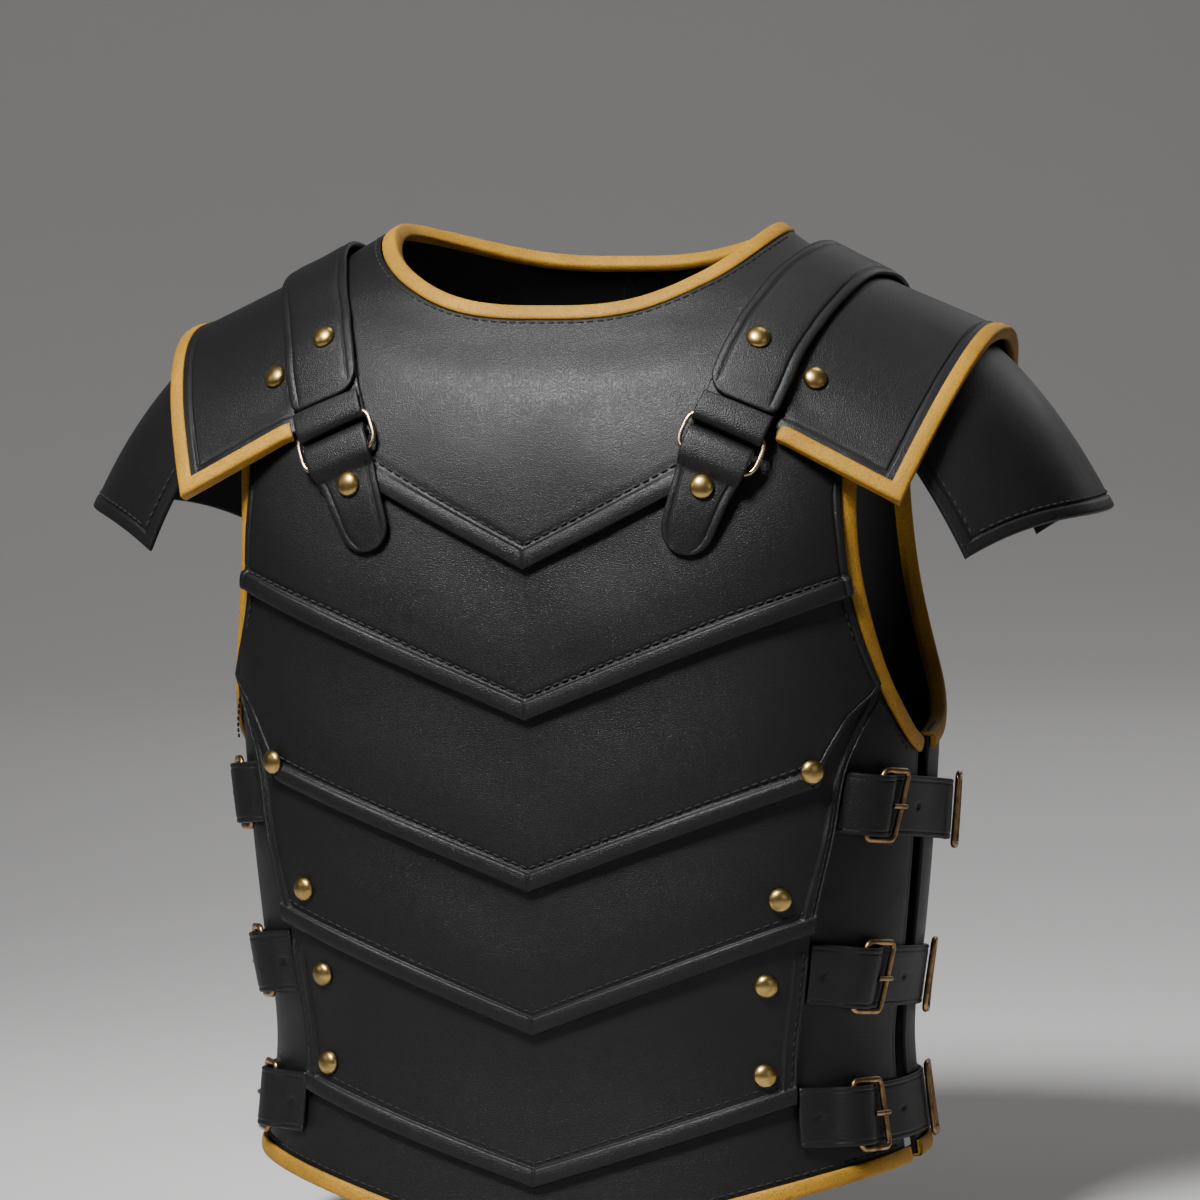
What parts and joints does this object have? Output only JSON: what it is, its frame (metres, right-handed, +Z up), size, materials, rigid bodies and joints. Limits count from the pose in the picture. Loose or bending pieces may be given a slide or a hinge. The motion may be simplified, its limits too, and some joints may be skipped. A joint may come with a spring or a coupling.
{
  "type": "leather cuirass",
  "caption": "Hollow leather cuirass: breast plate with chevron lames, plain back plate, bound edges, double shoulder flaps, ringed shoulder straps and buckled side straps.",
  "frame": {"origin": "on the wearer's centre line, at the height of the shoulders beside the neck, where the shoulders hold the garment up", "axes": "+Z up, -Y towards the garment's front, +X towards the wearer's left"},
  "size_m": [0.5184, 0.2587, 0.507],
  "materials": {
    "body_leather": "satin black leather with a fine grain",
    "binding_leather": "ochre yellow leather edge binding, matt satin",
    "brass": "antique brass, softly polished"
  },
  "bodies": {
    "root": {"front_panel": "body_leather", "back_panel": "body_leather", "lame_1_bib": "body_leather", "lame_2": "body_leather", "lame_3": "body_leather", "lame_4": "body_leather", "lame_5": "body_leather", "neck_binding": "binding_leather", "hem_binding_front": "binding_leather", "hem_binding_back": "binding_leather", "armhole_binding_left": "binding_leather", "armhole_binding_right": "binding_leather", "upper_flap_left": "body_leather", "upper_flap_right": "body_leather", "lower_flap_left": "body_leather", "lower_flap_right": "body_leather", "upper_flap_binding_left": "binding_leather", "upper_flap_binding_right": "binding_leather", "shoulder_strap_left": "body_leather", "shoulder_strap_right": "body_leather", "ring_loop_left": "body_leather", "ring_loop_right": "body_leather", "ring_left": "brass", "ring_right": "brass", "tongue_left": "body_leather", "tongue_right": "body_leather", "side_strap_1_left": "body_leather", "side_strap_1_right": "body_leather", "buckle_1_left": "brass", "buckle_1_right": "brass", "buckle_tab_1_left": "body_leather", "buckle_tab_1_right": "body_leather", "side_strap_2_left": "body_leather", "side_strap_2_right": "body_leather", "buckle_2_left": "brass", "buckle_2_right": "brass", "buckle_tab_2_left": "body_leather", "buckle_tab_2_right": "body_leather", "side_strap_3_left": "body_leather", "side_strap_3_right": "body_leather", "buckle_3_left": "brass", "buckle_3_right": "brass", "buckle_tab_3_left": "body_leather", "buckle_tab_3_right": "body_leather", "lame_rivet_3_left": "brass", "lame_rivet_3_right": "brass", "lame_rivet_4_left": "brass", "lame_rivet_4_right": "brass", "lame_rivet_5_left": "brass", "lame_rivet_5_right": "brass", "lame_rivet_6_left": "brass", "lame_rivet_6_right": "brass", "strap_rivet_left": "brass", "strap_rivet_right": "brass", "tongue_rivet_left": "brass", "tongue_rivet_right": "brass", "flap_rivet_left": "brass", "flap_rivet_right": "brass"}
  },
  "joints": []
}
